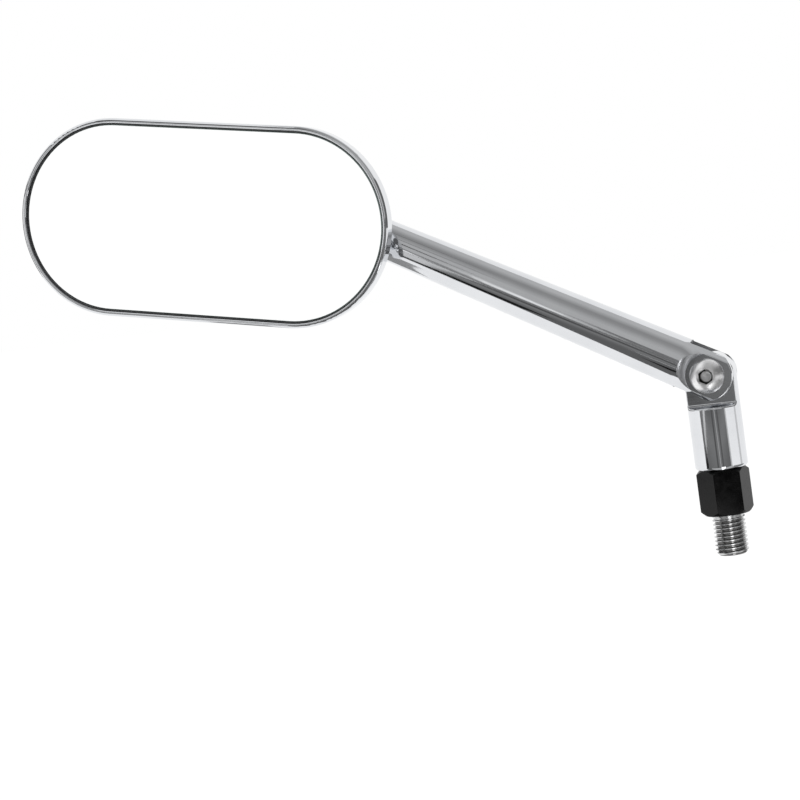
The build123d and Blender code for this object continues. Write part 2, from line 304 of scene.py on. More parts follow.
blackened, nut_tree, nut_shader = start_finish("blackened_nut")
nut_patches = mottle(nut_tree, own_place(nut_tree), NUT_PATCH_SIZE, detail=6.0)
nut_marks = mottle(nut_tree, own_place(nut_tree), NUT_MARK_SIZE, detail=3.0)
nut_colour = blend(nut_tree, spread(nut_tree, nut_patches, 0, 1), BLACKENED, BLACKENED_WORN)
nut_tree.links.new(nut_colour, nut_shader.inputs["Base Color"])
nut_tree.links.new(spread(nut_tree, nut_patches, *BLACKENED_ROUGHNESS), nut_shader.inputs["Roughness"])
nut_shader.inputs["IOR"].default_value = BLACKENED_IOR
relief(nut_tree, nut_marks, NUT_MARK_HEIGHT, nut_shader)
dress("lock_nut", blackened)

# Stem base: a turned steel stub, its tongue milled flat for the hinge, all under bright chrome plate.
# Buffing leaves a faint waviness, and lines that run round a turned bar.
CHROME = (0.752, 0.764, 0.784, 1)
CHROME_HAZE = (0.716, 0.728, 0.750, 1)
CHROME_HAZE_SIZE = 0.012
CHROME_ROUGHNESS = (0.035, 0.075)
CHROME_WAVE_SIZE = 0.007
CHROME_WAVE_HEIGHT = 0.000012
BUFF_LINE_SIZE = 0.00035
BUFF_LINE_HEIGHT = 0.0000006
BUFF_LINE_ROUGHNESS = (0.0, 0.03)
BUFFED_ROUND = (0.03, 0.03, 1)


def chrome_finish(name, turn, stretch):
    """Chrome plate, with its buffing lines along the direction that the stretch makes long."""
    plate, tree, shader = start_finish(name)
    lines = mottle(tree, own_place(tree, turn, stretch), BUFF_LINE_SIZE, detail=3.0)
    haze = mottle(tree, own_place(tree, turn), CHROME_HAZE_SIZE, detail=4.0)
    tree.links.new(blend(tree, spread(tree, haze, 0, 1), CHROME, CHROME_HAZE), shader.inputs["Base Color"])
    shader.inputs["Metallic"].default_value = 1.0
    polish = tree.nodes.new("ShaderNodeMath")
    polish.operation = "ADD"
    tree.links.new(spread(tree, lines, *BUFF_LINE_ROUGHNESS), polish.inputs[0])
    tree.links.new(spread(tree, haze, *CHROME_ROUGHNESS), polish.inputs[1])
    tree.links.new(polish.outputs[0], shader.inputs["Roughness"])
    waves = mottle(tree, own_place(tree, turn), CHROME_WAVE_SIZE, detail=1.0)
    wavy = relief(tree, waves, CHROME_WAVE_HEIGHT, shader)
    relief(tree, lines, BUFF_LINE_HEIGHT, shader, wavy)
    return plate


stem_chrome = chrome_finish("chrome_stem", (0, 0, 0), BUFFED_ROUND)
dress("stem_base", stem_chrome)

# Arm: a tapered steel bar with a forked end, chrome plated like the stem.
# It was buffed lengthwise, so its lines run from the hinge to the head.
# The wheel doesn't reach into the fork's slot, where the plate stays thin and dull.
ARM_RISE = radians(29.2)
PIVOT_HEIGHT = 0.0425
BUFFED_LENGTHWISE = (0.012, 1, 1)
FORK_SLOT_HALF = 0.0032
FORK_SLOT_WALL = 1.004 * FORK_SLOT_HALF
FORK_SLOT_WALL_FADE = 1.02 * FORK_SLOT_HALF
FORK_SLOT_END = 0.0087
FORK_SLOT_END_FADE = 1.01 * FORK_SLOT_END
FORK_SLOT_DULL = (0.52, 0.525, 0.535, 1)
FORK_SLOT_ROUGHNESS = 0.55

along_arm = (0, -ARM_RISE, 0)
arm_chrome = chrome_finish("chrome_arm", along_arm, BUFFED_LENGTHWISE)
arm_tree = arm_chrome.node_tree
arm_shader = arm_tree.nodes["Principled BSDF"]
arm_place = arm_tree.nodes.new("ShaderNodeSeparateXYZ")
arm_tree.links.new(own_place(arm_tree, along_arm), arm_place.inputs["Vector"])
from_middle = arm_tree.nodes.new("ShaderNodeMath")
from_middle.operation = "ABSOLUTE"
arm_tree.links.new(arm_place.outputs["Y"], from_middle.inputs[0])
between_ears = spread(arm_tree, from_middle.outputs[0], 1, 0, FORK_SLOT_WALL, FORK_SLOT_WALL_FADE)
pivot_along = -PIVOT_HEIGHT * sin(ARM_RISE)
slot_end = pivot_along - FORK_SLOT_END
slot_end_fade = pivot_along - FORK_SLOT_END_FADE
in_fork = spread(arm_tree, arm_place.outputs["X"], 0, 1, slot_end_fade, slot_end)
in_slot = arm_tree.nodes.new("ShaderNodeMath")
in_slot.operation = "MULTIPLY"
arm_tree.links.new(between_ears, in_slot.inputs[0])
arm_tree.links.new(in_fork, in_slot.inputs[1])
slot_dulling = (FORK_SLOT_ROUGHNESS,) * 3 + (1,)
for socket, dull in (("Base Color", FORK_SLOT_DULL), ("Roughness", slot_dulling)):
    bright = arm_shader.inputs[socket].links[0].from_socket
    arm_tree.links.new(blend(arm_tree, in_slot.outputs[0], bright, dull), arm_shader.inputs[socket])
dress("arm", arm_chrome)

# Pivot nut, ball stud and the steel inside the head: turned pieces under bright zinc plate.
# The thin nut sits on the fork's far side, the rest is the ball joint.
STEEL_BRIGHT = (0.95, 0.95, 0.955, 1)
STEEL_DULL = (0.87, 0.87, 0.875, 1)
STEEL_PATCH_SIZE = 0.0015
BRIGHT_STEEL_ROUGHNESS = (0.16, 0.26)
TURNING_WAVE_SIZE = 0.0012
TURNING_WAVE_HEIGHT = 0.000012


def turned_steel(name, smoothest, roughest):
    """Bright zinc plate over turned steel, with the shader's colour and roughness for further wear."""
    finish, tree, shader = start_finish(name)
    patches = mottle(tree, own_place(tree), STEEL_PATCH_SIZE, detail=4.0)
    colour = blend(tree, spread(tree, patches, 0, 1), STEEL_DULL, STEEL_BRIGHT)
    roughness = spread(tree, patches, smoothest, roughest)
    tree.links.new(colour, shader.inputs["Base Color"])
    tree.links.new(roughness, shader.inputs["Roughness"])
    shader.inputs["Metallic"].default_value = 1.0
    waves = mottle(tree, own_place(tree), TURNING_WAVE_SIZE, detail=2.0)
    relief(tree, waves, TURNING_WAVE_HEIGHT, shader)
    return finish, tree, shader, colour, roughness


bright_steel = turned_steel("bright_turned_steel", *BRIGHT_STEEL_ROUGHNESS)[0]
for node in ("pivot_nut", "ball_stud", "thrust_cup", "retaining_ring"):
    dress(node, bright_steel)

# Pivot screw: a button-head screw, turned from bar, with a hexagon socket punched over a drilled hole.
# It clamps the fork on the tongue. The socket's walls are painted near-black as shade, and its drilled
# floor is bright and unworn.
SCREW_SIDES = 96
SCREW_SHANK = 0.003
SCREW_TIP_CHAMFER = 0.0006
SCREW_HEAD = 0.00525
SCREW_HEAD_EDGE = 0.0004
SCREW_HEAD_HEIGHT = 0.0033
SCREW_CROWN = 0.0027
SCREW_DOME_RADIUS = 0.0058
SCREW_DOME_STEPS = 12
SCREW_EDGE_BREAK = 0.00008
SCREW_EDGE_ANGLE = radians(35)
SCREW_SMOOTH_ANGLE = radians(30)
SCREW_ROUGHNESS = (0.30, 0.42)
SOCKET_SIDES = 6
SOCKET_ACROSS_FLATS = 0.004
SOCKET_DEPTH = 0.0021
SOCKET_MOUTH = 0.0026
SOCKET_DRILL = 0.0011
SOCKET_POINT = 0.00066
SOCKET_FLOOR_REACH = 0.0014
SOCKET_WALL_SHADE_START = 0.0018
SOCKET_WALL_SHADE = (0.03, 0.03, 0.03, 1)
SOCKET_FLOOR = (0.96, 0.96, 0.965, 1)
SOCKET_ROUGHNESS = 0.62
SOCKET_WALL_FADE = 1.02

screw_low, screw_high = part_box("pivot_screw")
crown_level = screw_low.y
seat_level = crown_level + SCREW_HEAD_HEIGHT
edge_level = seat_level - SCREW_HEAD_EDGE
dome_chord = Vector((SCREW_CROWN - SCREW_HEAD, crown_level - edge_level))
dome_middle = Vector(((SCREW_CROWN + SCREW_HEAD) / 2, (crown_level + edge_level) / 2))
dome_inward = Vector((dome_chord.y, -dome_chord.x)).normalized()
dome_center = dome_middle + dome_inward * (SCREW_DOME_RADIUS**2 - (dome_chord.length / 2) ** 2) ** 0.5
dome_start = Vector((SCREW_HEAD, edge_level)) - dome_center
dome_angle = dome_start.angle(Vector((SCREW_CROWN, crown_level)) - dome_center)

# The screw's outline from its tip to its crown, as radius and place along the hinge's axis.
screw_outline = [
    (SCREW_SHANK, screw_high.y - SCREW_TIP_CHAMFER),
    (SCREW_SHANK, seat_level),
    (SCREW_HEAD, seat_level),
    (SCREW_HEAD, edge_level),
]
for step in range(1, SCREW_DOME_STEPS + 1):
    turn = Matrix.Rotation(-dome_angle * step / SCREW_DOME_STEPS, 2)
    screw_outline.append(tuple(dome_center + turn @ dome_start))
bpy.ops.object.select_all(action="DESELECT")
bpy.ops.mesh.primitive_circle_add(
    vertices=SCREW_SIDES,
    radius=SCREW_SHANK - SCREW_TIP_CHAMFER,
    fill_type="NGON",
    location=(0, screw_high.y, PIVOT_HEIGHT),
    rotation=(radians(90), 0, 0),
)
pivot_screw = bpy.context.object
pivot_screw.name = "pivot_screw_turned"
bpy.ops.object.transform_apply(location=True, rotation=True, scale=True)
bpy.ops.object.mode_set(mode="EDIT")
bpy.ops.mesh.select_all(action="SELECT")
last_radius = SCREW_SHANK - SCREW_TIP_CHAMFER
last_level = screw_high.y
for radius, level in screw_outline:
    bpy.ops.mesh.extrude_region_move(TRANSFORM_OT_translate={"value": (0, level - last_level, 0)})
    swell = radius / last_radius
    bpy.ops.transform.resize(value=(swell, 1, swell), center_override=(0, level, PIVOT_HEIGHT))
    last_radius = radius
    last_level = level
bpy.ops.mesh.select_all(action="SELECT")
bpy.ops.mesh.normals_make_consistent(inside=False)
bpy.ops.object.mode_set(mode="OBJECT")

# The socket is a six-sided punch's mark, with the point of the drill below it and a countersunk mouth.
# Each tool is drawn at twice its size about the face that it enters, so that it stands out of the metal.
socket_corner = SOCKET_ACROSS_FLATS / 2 / cos(radians(180 / SOCKET_SIDES))
socket_floor = crown_level + SOCKET_DEPTH
bpy.ops.mesh.primitive_cylinder_add(
    vertices=SOCKET_SIDES,
    radius=socket_corner,
    depth=2 * SOCKET_DEPTH,
    location=(0, crown_level, PIVOT_HEIGHT),
    rotation=(radians(90), 0, 0),
)
combine(pivot_screw, bpy.context.object, "DIFFERENCE")
drill_point = (SOCKET_DRILL, SOCKET_POINT, socket_floor)
countersink = (SOCKET_MOUTH, SOCKET_MOUTH, crown_level)
for cone_radius, cone_depth, cone_face in (drill_point, countersink):
    bpy.ops.mesh.primitive_cone_add(
        vertices=SCREW_SIDES,
        radius1=2 * cone_radius,
        radius2=0,
        depth=2 * cone_depth,
        location=(0, cone_face, PIVOT_HEIGHT),
        rotation=(radians(-90), 0, 0),
    )
    combine(pivot_screw, bpy.context.object, "DIFFERENCE")
bpy.ops.object.select_all(action="DESELECT")
pivot_screw.select_set(True)
bpy.context.view_layer.objects.active = pivot_screw
edge_break = pivot_screw.modifiers.new("edge_break", "BEVEL")
edge_break.width = SCREW_EDGE_BREAK
edge_break.segments = 2
edge_break.limit_method = "ANGLE"
edge_break.angle_limit = SCREW_EDGE_ANGLE
bpy.ops.object.modifier_apply(modifier=edge_break.name)
merge_doubles()
bpy.ops.object.shade_smooth_by_angle(angle=SCREW_SMOOTH_ANGLE)

screw_finish = turned_steel("satin_screw_steel", *SCREW_ROUGHNESS)
screw_steel, screw_tree, screw_shader, screw_colour, screw_roughness = screw_finish
screw_place = screw_tree.nodes.new("ShaderNodeVectorMath")
screw_place.operation = "SUBTRACT"
screw_place.inputs[1].default_value = (0, 0, PIVOT_HEIGHT)
screw_tree.links.new(own_place(screw_tree), screw_place.inputs[0])
screw_depth = screw_tree.nodes.new("ShaderNodeSeparateXYZ")
screw_tree.links.new(screw_place.outputs["Vector"], screw_depth.inputs["Vector"])
screw_across = screw_tree.nodes.new("ShaderNodeVectorMath")
screw_across.operation = "MULTIPLY"
screw_across.inputs[1].default_value = (1, 0, 1)
screw_tree.links.new(screw_place.outputs["Vector"], screw_across.inputs[0])
from_screw_axis = screw_tree.nodes.new("ShaderNodeVectorMath")
from_screw_axis.operation = "LENGTH"
screw_tree.links.new(screw_across.outputs["Vector"], from_screw_axis.inputs[0])
screw_reach = from_screw_axis.outputs["Value"]
# Painted shade: inside the socket the walls are coloured near-black, fading to the bright floor near the
# axis.
near_axis = spread(screw_tree, screw_reach, 1, 0, socket_corner, socket_corner * SOCKET_WALL_FADE)
mouth_end = crown_level + SOCKET_MOUTH - SOCKET_ACROSS_FLATS / 2
below_mouth = spread(screw_tree, screw_depth.outputs["Y"], 0, 1, mouth_end, mouth_end + SCREW_EDGE_BREAK)
on_floor = spread(screw_tree, screw_reach, 1, 0, SOCKET_FLOOR_REACH, SOCKET_WALL_SHADE_START)
in_socket = screw_tree.nodes.new("ShaderNodeMath")
in_socket.operation = "MULTIPLY"
screw_tree.links.new(near_axis, in_socket.inputs[0])
screw_tree.links.new(below_mouth, in_socket.inputs[1])
socket_shade_and_floor = blend(screw_tree, on_floor, SOCKET_WALL_SHADE, SOCKET_FLOOR)
socket_dulling = (SOCKET_ROUGHNESS,) * 3 + (1,)
for socket, socket_look, plated in (
    ("Base Color", socket_shade_and_floor, screw_colour),
    ("Roughness", socket_dulling, screw_roughness),
):
    screw_tree.links.new(blend(screw_tree, in_socket.outputs[0], plated, socket_look), screw_shader.inputs[socket])
pivot_screw.data.materials.clear()
pivot_screw.data.materials.append(screw_steel)
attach(pivot_screw, "arm")
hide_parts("pivot_screw")

# Ball liners: two dished caps of natural nylon that grip the ball, one behind it and one in front.
# They are moulded, a little yellow and faintly grained.
NYLON = (0.70, 0.67, 0.59, 1)
NYLON_SHADE = (0.60, 0.57, 0.49, 1)
NYLON_PATCH_SIZE = 0.003
NYLON_ROUGHNESS = (0.38, 0.50)
NYLON_GRAIN_SIZE = 0.0003
NYLON_GRAIN_HEIGHT = 0.000006

nylon, nylon_tree, nylon_shader = start_finish("natural_nylon")
nylon_patches = mottle(nylon_tree, own_place(nylon_tree), NYLON_PATCH_SIZE, detail=3.0)
nylon_colour = blend(nylon_tree, spread(nylon_tree, nylon_patches, 0, 1), NYLON_SHADE, NYLON)
nylon_tree.links.new(nylon_colour, nylon_shader.inputs["Base Color"])
nylon_tree.links.new(spread(nylon_tree, nylon_patches, *NYLON_ROUGHNESS), nylon_shader.inputs["Roughness"])
nylon_grain = mottle(nylon_tree, own_place(nylon_tree), NYLON_GRAIN_SIZE, detail=2.0)
relief(nylon_tree, nylon_grain, NYLON_GRAIN_HEIGHT, nylon_shader)
for node in ("rear_ball_liner", "front_ball_liner"):
    dress(node, nylon)

# Disc spring: a dished washer pressed from spring steel, which keeps the ball joint stiff.
# Its phosphate coat is dark, fine grained and dull.
PHOSPHATE = (0.055, 0.054, 0.052, 1)
PHOSPHATE_LIGHT = (0.11, 0.108, 0.10, 1)
PHOSPHATE_METAL_SHARE = 0.6
PHOSPHATE_ROUGHNESS = (0.45, 0.6)
PHOSPHATE_GRAIN_SIZE = 0.0002
PHOSPHATE_GRAIN_HEIGHT = 0.00001

phosphate, spring_tree, spring_shader = start_finish("phosphated_spring")
phosphate_grain = mottle(spring_tree, own_place(spring_tree), PHOSPHATE_GRAIN_SIZE, detail=4.0)
phosphate_share = spread(spring_tree, phosphate_grain, 0, 1)
phosphate_colour = blend(spring_tree, phosphate_share, PHOSPHATE, PHOSPHATE_LIGHT)
spring_tree.links.new(phosphate_colour, spring_shader.inputs["Base Color"])
spring_shader.inputs["Metallic"].default_value = PHOSPHATE_METAL_SHARE
phosphate_roughness = spread(spring_tree, phosphate_grain, *PHOSPHATE_ROUGHNESS)
spring_tree.links.new(phosphate_roughness, spring_shader.inputs["Roughness"])
relief(spring_tree, phosphate_grain, PHOSPHATE_GRAIN_HEIGHT, spring_shader)
dress("disc_spring", phosphate)

# Housing: a cast pan with a rounded rim and the ball socket on its back, polished and chrome plated.
# Cast work is buffed in all directions, so its lines have no one direction.
# At the middle of the crown's far end the mesh leans wrongly, so the plate takes the crown's true curve.
PAN_LENGTH = 0.1228
PAN_HEIGHT = 0.0625
HEAD_RISE = radians(10.6)
CROWN_CURVE_RADIUS = 0.542
CROWN_MIDDLE = 0.0073
CROWN_MIDDLE_FADE = 0.0085
BUFFED_ALL_ROUND = (0.25, 0.25, 0.25)

pan_low, pan_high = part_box("housing")
along_head = Vector((-cos(HEAD_RISE), 0, sin(HEAD_RISE)))
crown_middle = (pan_low + pan_high) / 2 + along_head * (PAN_LENGTH - PAN_HEIGHT) / 2
pan_chrome = chrome_finish("chrome_pan", (0, 0, 0), BUFFED_ALL_ROUND)
pan_tree = pan_chrome.node_tree
from_crown = pan_tree.nodes.new("ShaderNodeVectorMath")
from_crown.operation = "SUBTRACT"
from_crown.inputs[1].default_value = (crown_middle.x, 0, crown_middle.z)
pan_tree.links.new(own_place(pan_tree, stretch=(1, 0, 1)), from_crown.inputs[0])
crown_reach = pan_tree.nodes.new("ShaderNodeVectorMath")
crown_reach.operation = "LENGTH"
pan_tree.links.new(from_crown.outputs["Vector"], crown_reach.inputs[0])
on_crown = spread(pan_tree, crown_reach.outputs["Value"], 1, 0, CROWN_MIDDLE, CROWN_MIDDLE_FADE)
crown_lean = pan_tree.nodes.new("ShaderNodeVectorMath")
crown_lean.operation = "ADD"
crown_lean.inputs[1].default_value = (0, CROWN_CURVE_RADIUS, 0)
pan_tree.links.new(from_crown.outputs["Vector"], crown_lean.inputs[0])
crown_facing = pan_tree.nodes.new("ShaderNodeVectorTransform")
crown_facing.vector_type = "NORMAL"
crown_facing.convert_from = "OBJECT"
crown_facing.convert_to = "WORLD"
pan_tree.links.new(crown_lean.outputs["Vector"], crown_facing.inputs["Vector"])
pan_shape = pan_tree.nodes.new("ShaderNodeNewGeometry")
pan_facing = blend(pan_tree, on_crown, pan_shape.outputs["Normal"], crown_facing.outputs["Vector"])
for pan_node in pan_tree.nodes:
    if pan_node.type == "BUMP" and not pan_node.inputs["Normal"].is_linked:
        pan_tree.links.new(pan_facing, pan_node.inputs["Normal"])
dress("housing", pan_chrome)

# Foam pad: a sheet of dark closed-cell foam, die cut, with adhesive on both sides.
# It bonds the glass to the pan's floor.
FOAM = (0.035, 0.035, 0.037, 1)
FOAM_LIGHT = (0.07, 0.07, 0.073, 1)
FOAM_ROUGHNESS = 0.92
FOAM_CELL = 0.0005
FOAM_CELL_DEPTH = 0.0001
FOAM_CELL_SLOPE = (0.1, 0.8)

foam, foam_tree, foam_shader = start_finish("closed_cell_foam")
cells = foam_tree.nodes.new("ShaderNodeTexVoronoi")
cells.inputs["Scale"].default_value = 1 / FOAM_CELL
foam_tree.links.new(own_place(foam_tree), cells.inputs["Vector"])
cell_share = spread(foam_tree, cells.outputs["Distance"], 0, 1, *FOAM_CELL_SLOPE)
foam_tree.links.new(blend(foam_tree, cell_share, FOAM_LIGHT, FOAM), foam_shader.inputs["Base Color"])
foam_shader.inputs["Roughness"].default_value = FOAM_ROUGHNESS
relief(foam_tree, cells.outputs["Distance"], FOAM_CELL_DEPTH, foam_shader)
dress("foam_pad", foam)

# Glass seal: a thin extruded channel of black rubber between glass and rim, pressed in by hand.
# It is matt, with a pale bloom in places.
RUBBER = (0.065, 0.065, 0.068, 1)
RUBBER_BLOOM = (0.100, 0.100, 0.104, 1)
RUBBER_BLOOM_SIZE = 0.004
RUBBER_ROUGHNESS = (0.5, 0.7)
RUBBER_GRAIN_SIZE = 0.00015
RUBBER_GRAIN_HEIGHT = 0.00001

rubber, rubber_tree, rubber_shader = start_finish("seal_rubber")
bloom = mottle(rubber_tree, own_place(rubber_tree), RUBBER_BLOOM_SIZE, detail=5.0)
rubber_colour = blend(rubber_tree, spread(rubber_tree, bloom, 0, 1), RUBBER, RUBBER_BLOOM)
rubber_tree.links.new(rubber_colour, rubber_shader.inputs["Base Color"])
rubber_tree.links.new(spread(rubber_tree, bloom, *RUBBER_ROUGHNESS), rubber_shader.inputs["Roughness"])
rubber_grain = mottle(rubber_tree, own_place(rubber_tree), RUBBER_GRAIN_SIZE, detail=2.0)
relief(rubber_tree, rubber_grain, RUBBER_GRAIN_HEIGHT, rubber_shader)
dress("glass_seal", rubber)

# Mirror glass: a flat pane cut to the pan's shape and silvered behind.
# Its ground edge stays grey-green and dull, and its face has faint wipe marks.
SILVER = (0.945, 0.950, 0.948, 1)
GROUND_EDGE = (0.30, 0.36, 0.34, 1)
GROUND_EDGE_FACING = (-0.95, -0.75)
GROUND_EDGE_ROUGHNESS = (0.0, 0.45)
WIPE_TURN = (0, radians(25), 0)
WIPE_STRETCH = (0.3, 1, 1)
WIPE_SIZE = 0.02
WIPE_ROUGHNESS = (0.004, 0.018)

silver, silver_tree, silver_shader = start_finish("silvered_glass")
glass_place = silver_tree.nodes.new("ShaderNodeTexCoord")
glass_facing = silver_tree.nodes.new("ShaderNodeSeparateXYZ")
silver_tree.links.new(glass_place.outputs["Normal"], glass_facing.inputs["Vector"])
ground_share = spread(silver_tree, glass_facing.outputs["Y"], 0, 1, *GROUND_EDGE_FACING)
silver_colour = blend(silver_tree, ground_share, SILVER, GROUND_EDGE)
silver_tree.links.new(silver_colour, silver_shader.inputs["Base Color"])
silver_shader.inputs["Metallic"].default_value = 1.0
along_wipes = own_place(silver_tree, WIPE_TURN, WIPE_STRETCH)
wipe_marks = mottle(silver_tree, along_wipes, WIPE_SIZE, detail=5.0)
glass_polish = silver_tree.nodes.new("ShaderNodeMath")
glass_polish.operation = "MAXIMUM"
silver_tree.links.new(spread(silver_tree, wipe_marks, *WIPE_ROUGHNESS), glass_polish.inputs[0])
ground_roughness = spread(silver_tree, ground_share, *GROUND_EDGE_ROUGHNESS, 0, 1)
silver_tree.links.new(ground_roughness, glass_polish.inputs[1])
silver_tree.links.new(glass_polish.outputs[0], silver_shader.inputs["Roughness"])
dress("mirror_glass", silver)

# Photographer's camera: a long lens a little to the rider's right of the glass and just above it,
# held with a slight roll, so that the stem leans in the picture.
VIEW_AZIMUTH = radians(18.015)
VIEW_ELEVATION = radians(4.378)
VIEW_ROLL = radians(-8.001)
VIEW_DISTANCE = 0.75382
VIEW_AIM = Vector((-0.09843, 0.0, 0.04550))
LENS_MM = 108.0
SENSOR_MM = 36.0
CLIP_NEAR = 0.01
CLIP_FAR = 20.0

camera_turn = Matrix.Rotation(VIEW_AZIMUTH, 3, "Z")
camera_turn = camera_turn @ Matrix.Rotation(radians(90) - VIEW_ELEVATION, 3, "X")
camera_turn = camera_turn @ Matrix.Rotation(VIEW_ROLL, 3, "Z")
camera_place = VIEW_AIM + camera_turn @ Vector((0, 0, VIEW_DISTANCE))
bpy.ops.object.camera_add(location=camera_place, rotation=camera_turn.to_euler())
camera = bpy.context.object
camera.data.lens = LENS_MM
camera.data.sensor_width = SENSOR_MM
camera.data.clip_start = CLIP_NEAR
camera.data.clip_end = CLIP_FAR
bpy.context.scene.camera = camera

# Studio floor and room: a white sweep in a white room. The floor glows white to the camera and to chrome,
# apart from the share that takes the part's shadow.
# It lies below the head's lowest reach, which is with the arm down.
FLOOR_DROP = 0.024
FLOOR_SIZE = 6.0
FLOOR_WHITE = (0.86, 0.86, 0.86, 1)
FLOOR_ROUGHNESS = 0.9
FLOOR_SHADOW_SHARE = 0.22
FLOOR_GLOW = 1.16
ROOM_FILL = 0.55

floor_level = cad_low.z - FLOOR_DROP
bpy.ops.mesh.primitive_plane_add(size=FLOOR_SIZE, location=(0, 0, floor_level))
floor = bpy.context.object
floor.name = "studio_floor"
sweep, sweep_tree, sweep_matte = start_finish("white_sweep")
sweep_matte.inputs["Base Color"].default_value = FLOOR_WHITE
sweep_matte.inputs["Roughness"].default_value = FLOOR_ROUGHNESS
sweep_matte.inputs["Specular IOR Level"].default_value = 0.0
sweep_glow = sweep_tree.nodes.new("ShaderNodeEmission")
sweep_glow.inputs["Strength"].default_value = FLOOR_GLOW
sweep_path = sweep_tree.nodes.new("ShaderNodeLightPath")
sweep_seen = sweep_tree.nodes.new("ShaderNodeMath")
sweep_seen.operation = "MAXIMUM"
sweep_share = sweep_tree.nodes.new("ShaderNodeMath")
sweep_share.operation = "MULTIPLY"
sweep_share.inputs[1].default_value = 1.0 - FLOOR_SHADOW_SHARE
sweep_mix = sweep_tree.nodes.new("ShaderNodeMixShader")
sweep_tree.links.new(sweep_path.outputs["Is Camera Ray"], sweep_seen.inputs[0])
sweep_tree.links.new(sweep_path.outputs["Is Glossy Ray"], sweep_seen.inputs[1])
sweep_tree.links.new(sweep_seen.outputs[0], sweep_share.inputs[0])
sweep_tree.links.new(sweep_share.outputs[0], sweep_mix.inputs["Fac"])
sweep_tree.links.new(sweep_matte.outputs["BSDF"], sweep_mix.inputs[1])
sweep_tree.links.new(sweep_glow.outputs["Emission"], sweep_mix.inputs[2])
sweep_tree.links.new(sweep_mix.outputs["Shader"], sweep_tree.nodes["Material Output"].inputs["Surface"])
floor.data.materials.append(sweep)

room = bpy.data.worlds.new("white_room")
room.use_nodes = True
bpy.context.scene.world = room
room_tree = room.node_tree
room_light = room_tree.nodes["Background"]
room_light.inputs["Color"].default_value = (1, 1, 1, 1)
room_path = room_tree.nodes.new("ShaderNodeLightPath")
room_seen = room_tree.nodes.new("ShaderNodeMath")
room_seen.operation = "MAXIMUM"
room_clear = room_tree.nodes.new("ShaderNodeMath")
room_clear.operation = "MAXIMUM"
room_tree.links.new(room_path.outputs["Is Camera Ray"], room_seen.inputs[0])
room_tree.links.new(room_path.outputs["Is Glossy Ray"], room_seen.inputs[1])
room_tree.links.new(room_seen.outputs[0], room_clear.inputs[0])
room_tree.links.new(room_path.outputs["Is Transmission Ray"], room_clear.inputs[1])
room_strength = spread(room_tree, room_clear.outputs[0], ROOM_FILL, 1.0, 0, 1)
room_tree.links.new(room_strength, room_light.inputs["Strength"])

# Studio cards: what the chrome has to look at. They show only in reflections, and each is a flat card
# whose grey changes from its first edge to its last.
def show_in_reflections(board, tones):
    """Make a card glow in these greys, from its first edge to its last, and keep it out of the picture."""
    finish, tree, shader = start_finish(board.name)
    tree.nodes.remove(shader)
    place = tree.nodes.new("ShaderNodeUVMap")
    along = tree.nodes.new("ShaderNodeSeparateXYZ")
    tree.links.new(place.outputs["UV"], along.inputs["Vector"])
    shades = tree.nodes.new("ShaderNodeValToRGB")
    shades.color_ramp.elements[0].position = tones[0][0]
    shades.color_ramp.elements[1].position = tones[-1][0]
    for position, grey in tones[1:-1]:
        shades.color_ramp.elements.new(position)
    for element, (position, grey) in zip(shades.color_ramp.elements, tones):
        element.color = (grey, grey, grey, 1)
    tree.links.new(along.outputs["Y"], shades.inputs["Fac"])
    glow = tree.nodes.new("ShaderNodeEmission")
    tree.links.new(shades.outputs["Color"], glow.inputs["Color"])
    tree.links.new(glow.outputs["Emission"], tree.nodes["Material Output"].inputs["Surface"])
    board.data.materials.append(finish)
    board.visible_camera = False
    board.visible_diffuse = False
    board.visible_shadow = False


def card(name, first_left, first_right, last_left, last_right, tones):
    """A flat card between four corners."""
    bpy.ops.mesh.primitive_plane_add()
    board = bpy.context.object
    board.name = name
    for vertex, corner in zip(board.data.vertices, (first_left, first_right, last_left, last_right)):
        vertex.co = corner
    show_in_reflections(board, tones)


def plain(grey):
    """One grey from edge to edge."""
    return ((0.0, grey), (1.0, grey))


# The ceiling is grey panels, from over the wall to a little behind the part, with two dark joints.
CEILING_HEIGHT = 1.0
CEILING_BACK = 0.45
ROOM_FRONT = -3.2
CARD_REACH = 4.0
CEILING_TONES = (
    (0.00, 0.50), (0.49, 0.50), (0.62, 0.42), (0.707, 0.33), (0.778, 0.30), (0.845, 0.43),
    (0.90, 0.54), (1.00, 0.54)
)
CEILING_JOINT_GAP = 0.01
CEILING_JOINTS = ((-0.50, 0.03, 0.15, 0.20), (-1.08, 0.05, 0.05, 0.24))
joint_level = CEILING_HEIGHT - CEILING_JOINT_GAP
card(
    "ceiling_card",
    (-CARD_REACH, ROOM_FRONT, CEILING_HEIGHT),
    (CARD_REACH, ROOM_FRONT, CEILING_HEIGHT),
    (-CARD_REACH, CEILING_BACK, CEILING_HEIGHT),
    (CARD_REACH, CEILING_BACK, CEILING_HEIGHT),
    CEILING_TONES,
)
for joint_place, joint_half, joint_end, joint_grey in CEILING_JOINTS:
    card(
        "ceiling_joint",
        (-CARD_REACH, joint_place - joint_half, joint_level),
        (joint_end, joint_place - joint_half, joint_level),
        (-CARD_REACH, joint_place + joint_half, joint_level),
        (joint_end, joint_place + joint_half, joint_level),
        plain(joint_grey),
    )

# Over the head the ceiling has a light panel and, nearer the camera, a dark one.
# Only the head's rim looks there.
HEAD_PANEL_RIGHT = -0.27
HEAD_PANELS = (("head_light_panel", -0.62, CEILING_BACK, 1.0), ("head_dark_panel", -2.30, -0.72, 0.09))
panel_level = CEILING_HEIGHT - 2 * CEILING_JOINT_GAP
for name, panel_front, panel_back, panel_grey in HEAD_PANELS:
    card(
        name,
        (-CARD_REACH, panel_front, panel_level),
        (HEAD_PANEL_RIGHT, panel_front, panel_level),
        (-CARD_REACH, panel_back, panel_level),
        (HEAD_PANEL_RIGHT, panel_back, panel_level),
        plain(panel_grey),
    )

